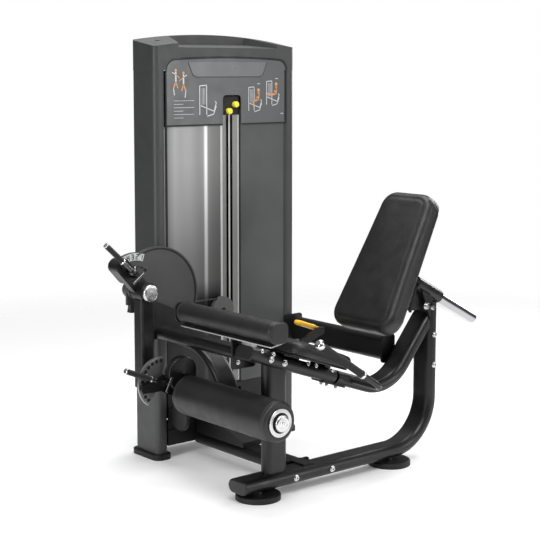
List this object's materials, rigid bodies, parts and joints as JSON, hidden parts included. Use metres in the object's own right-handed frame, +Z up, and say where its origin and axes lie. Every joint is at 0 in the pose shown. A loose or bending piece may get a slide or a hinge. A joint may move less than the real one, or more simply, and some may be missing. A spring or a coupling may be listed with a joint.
{
  "type": "leg extension machine",
  "caption": "Seated leg extension gym machine: tilted seat, sliding backrest, padded ankle roller on a pivoting lever, cam and cable to a weight stack in an upright tower.",
  "frame": {"origin": "floor point under the centre of the bounding box", "axes": "+X from the lever to the backrest, +Y from the seat to the weight tower, +Z up"},
  "size_m": [1.4226, 1.0009, 1.64],
  "materials": {
    "frame_paint": "satin black",
    "tower_paint": "satin charcoal",
    "panel_steel": "vertical brushed",
    "chrome": "polished",
    "plate_iron": "painted black",
    "arc_steel": "satin",
    "shin_paint": "satin black",
    "vinyl": "black leatherette",
    "rubber": "matt",
    "plastic": "fine texture",
    "yellow": "yellow",
    "amber": "amber",
    "cable": "coated wire rope"
  },
  "bodies": {
    "machine_frame": {"main_frame_tube": "frame_paint", "seat_tube": "frame_paint", "seat_rail": "frame_paint", "front_column": "frame_paint", "base_cross_tube": "frame_paint", "rear_cross_tube": "frame_paint", "pivot_cross_tube": "frame_paint", "pivot_plates": "frame_paint", "brace_plates": "frame_paint", "tube_end_caps": "plastic", "foot_pads": "rubber", "rail_bolts": "chrome", "seat_pan": "frame_paint", "seat_cushion": "vinyl", "knee_roll": "vinyl", "knee_roll_caps": "plastic", "knee_roll_plate": "arc_steel", "grip_tubes": "chrome", "hand_grips": "rubber", "guide_sleeve": "frame_paint", "release_bracket": "frame_paint", "tower_uprights": "tower_paint", "tower_boots": "rubber", "tower_top_cap": "tower_paint", "tower_cross_members": "tower_paint", "placard": "plastic", "left_panel": "panel_steel", "right_panel": "tower_paint", "tower_covers": "tower_paint", "base_covers": "frame_paint", "guide_rods": "chrome", "stack_bumpers": "rubber", "resting_plates": "plate_iron", "knob_carrier": "tower_paint", "lift_cable": "cable"},
    "stack": {"lifted_plates": "plate_iron", "selector_stem": "chrome", "drop_cable": "cable"},
    "stack_pin": {"selector_pin": "chrome"},
    "upper_knob": {"upper_knob": "yellow"},
    "lower_knob": {"lower_knob": "yellow"},
    "cam": {"cam": "frame_paint", "pivot_axle": "chrome"},
    "lever": {"lever_arm": "frame_paint", "selector_casting": "frame_paint", "start_handle": "chrome", "shin_arc_plate": "arc_steel"},
    "start_pin": {"start_pin": "chrome"},
    "shin": {"shin_swing_arm": "shin_paint", "shin_handle": "chrome", "roller_cap": "chrome"},
    "shin_pin": {"shin_pin": "chrome"},
    "roller": {"ankle_roller": "vinyl"},
    "backrest": {"backrest_bar": "chrome", "back_pad": "vinyl"},
    "release_lever": {"release_lever": "amber"},
    "turn_pulley": {"turn_pulley": "plastic"},
    "base_pulley": {"base_pulley": "plastic"},
    "top_pulley": {"top_pulley": "plastic"}
  },
  "joints": [
    {"name": "stack_slide", "type": "slide", "parent": "machine_frame", "child": "stack", "axis": [0, 0, 1], "range_m": [0, 0.139], "deforming": ["drop_cable"]},
    {"name": "stack_pin_slide", "type": "slide", "parent": "stack", "child": "stack_pin", "axis": [0, -1, 0], "range_m": [0, 0.06]},
    {"name": "upper_knob_slide", "type": "slide", "parent": "machine_frame", "child": "upper_knob", "axis": [0, -1, 0], "range_m": [0, 0.015]},
    {"name": "lower_knob_slide", "type": "slide", "parent": "machine_frame", "child": "lower_knob", "axis": [0, -1, 0], "range_m": [0, 0.015]},
    {"name": "leg_swing", "type": "hinge", "parent": "machine_frame", "child": "cam", "pos_m": [-0.5236, 0.2985, 0.686], "axis": [0, 1, 0], "range_deg": [0, 100]},
    {"name": "start_adjust", "type": "hinge", "parent": "cam", "child": "lever", "pos_m": [-0.5236, 0.2325, 0.686], "axis": [0, 1, 0], "range_deg": [0, 20]},
    {"name": "start_pin_pull", "type": "slide", "parent": "lever", "child": "start_pin", "axis": [0, -1, 0], "range_m": [0, 0.014]},
    {"name": "shin_adjust", "type": "hinge", "parent": "lever", "child": "shin", "pos_m": [-0.5236, 0.1325, 0.365], "axis": [0, 1, 0], "range_deg": [0, 40]},
    {"name": "shin_pin_pull", "type": "slide", "parent": "shin", "child": "shin_pin", "axis": [0, -1, 0], "range_m": [0, 0.014]},
    {"name": "roller_spin", "type": "hinge", "parent": "shin", "child": "roller", "pos_m": [-0.4516, -0.1955, 0.321], "axis": [0, 1, 0], "continuous": true},
    {"name": "backrest_slide", "type": "slide", "parent": "machine_frame", "child": "backrest", "axis": [0.8829, 0, -0.4695], "range_m": [-0.16, 0.04]},
    {"name": "release_lever_pivot", "type": "hinge", "parent": "machine_frame", "child": "release_lever", "pos_m": [0.0624, -0.0715, 0.518], "axis": [0, 1, 0], "range_deg": [0, 14], "stiffness_Nm_per_rad": 4},
    {"name": "turn_pulley_spin", "type": "hinge", "parent": "machine_frame", "child": "turn_pulley", "pos_m": [-0.0946, 0.3145, 0.561], "axis": [0, -1, 0], "range_deg": [0, 180]},
    {"name": "base_pulley_spin", "type": "hinge", "parent": "machine_frame", "child": "base_pulley", "pos_m": [-0.0256, 0.3905, 0.132], "axis": [-0.9536, 0.3011, 0], "range_deg": [0, 102]},
    {"name": "top_pulley_spin", "type": "hinge", "parent": "machine_frame", "child": "top_pulley", "pos_m": [-0.0136, 0.427, 1.436], "axis": [-0.9568, 0.2907, 0], "range_deg": [0, 196]}
  ],
  "couplings": [
    {"joint": "leg_swing", "follows": "stack_slide", "rad_per_m": 12.5},
    {"joint": "turn_pulley_spin", "follows": "stack_slide", "rad_per_m": 22.222},
    {"joint": "base_pulley_spin", "follows": "stack_slide", "rad_per_m": 12.547},
    {"joint": "top_pulley_spin", "follows": "stack_slide", "rad_per_m": 24.223}
  ]
}
